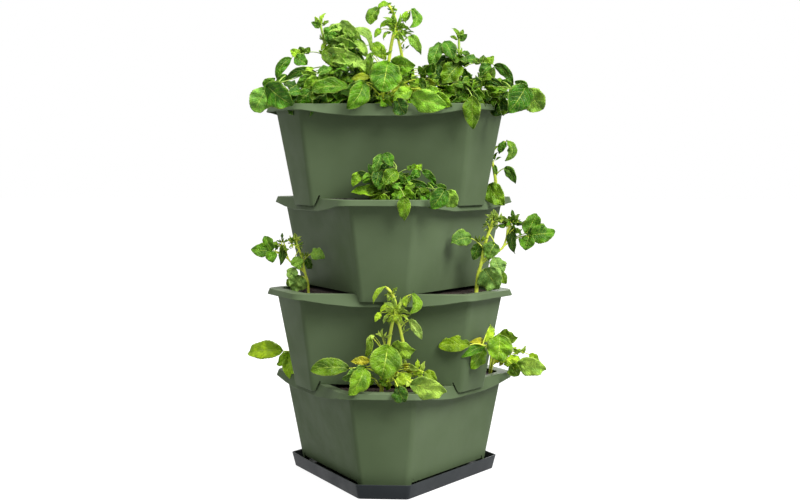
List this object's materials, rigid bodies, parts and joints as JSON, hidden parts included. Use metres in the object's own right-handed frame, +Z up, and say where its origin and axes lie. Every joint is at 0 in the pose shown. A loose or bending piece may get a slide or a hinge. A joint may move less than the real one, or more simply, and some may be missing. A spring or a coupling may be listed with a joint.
{
  "type": "vertical planter tower",
  "caption": "Tower of stackable lobed pots on a drip tray, each turned half a turn on the one below so that planting pockets stay open round every tier, with leafy plants in the pockets",
  "frame": {"origin": "middle of the drip tray's underside, on the floor", "axes": "+Z up along the stack, -Y to the front, +X to the right when seen from the front"},
  "size_m": [0.5823, 0.4676, 0.8809],
  "materials": {
    "pot_plastic": "satin moulded plastic, moss green",
    "tray_plastic": "satin moulded plastic, dark grey",
    "compost": "rough, crumbly",
    "foliage": "soft satin leaves"
  },
  "bodies": {
    "tray": {"drip_tray": "tray_plastic"},
    "tier_1": {"pot_1": "pot_plastic", "soil_1": "compost", "plant_1_front": "foliage", "plant_1_back_right": "foliage", "plant_1_back_left": "foliage"},
    "tier_2": {"pot_2": "pot_plastic", "soil_2": "compost", "plant_2_right": "foliage", "plant_2_left": "foliage"},
    "tier_3": {"pot_3": "pot_plastic", "soil_3": "compost", "plant_3_front": "foliage", "plant_3_back_right": "foliage"},
    "tier_4": {"pot_4": "pot_plastic", "soil_4": "compost", "plant_4_centre": "foliage", "plant_4_right": "foliage", "plant_4_left": "foliage"}
  },
  "joints": [
    {"name": "tier_1_lift", "type": "slide", "parent": "tray", "child": "tier_1", "axis": [0, 0, 1], "range_m": [0, 0.25]},
    {"name": "tier_2_lift", "type": "slide", "parent": "tier_1", "child": "tier_2", "axis": [0, 0, 1], "range_m": [0, 0.25]},
    {"name": "tier_3_lift", "type": "slide", "parent": "tier_2", "child": "tier_3", "axis": [0, 0, 1], "range_m": [0, 0.25]},
    {"name": "tier_4_lift", "type": "slide", "parent": "tier_3", "child": "tier_4", "axis": [0, 0, 1], "range_m": [0, 0.25]}
  ]
}
